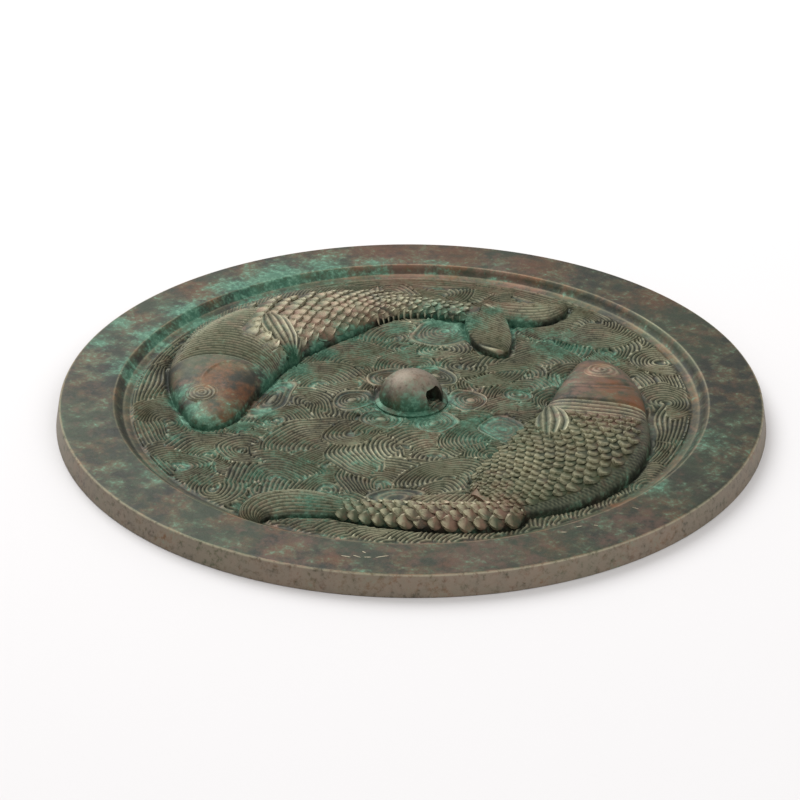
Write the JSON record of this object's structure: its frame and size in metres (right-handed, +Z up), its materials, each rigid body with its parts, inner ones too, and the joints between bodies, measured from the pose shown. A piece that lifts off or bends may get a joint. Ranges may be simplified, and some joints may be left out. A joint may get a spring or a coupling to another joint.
{
  "type": "bronze mirror",
  "caption": "Round cast bronze mirror lying on its polished face, its back carved with twin fish in waves round a pierced knob, with a wide raised rim.",
  "frame": {"origin": "centre of the flat polished face that the mirror lies on", "axes": "+Z up out of the carved back, +X along the cord hole through the knob"},
  "size_m": [0.202, 0.202, 0.0122],
  "materials": {
    "patinated_bronze": "cast bronze with a mottled olive and brown patina, verdigris in the hollows and worn high spots"
  },
  "bodies": {
    "root": {"mirror": "patinated_bronze", "knob": "patinated_bronze"}
  },
  "joints": []
}
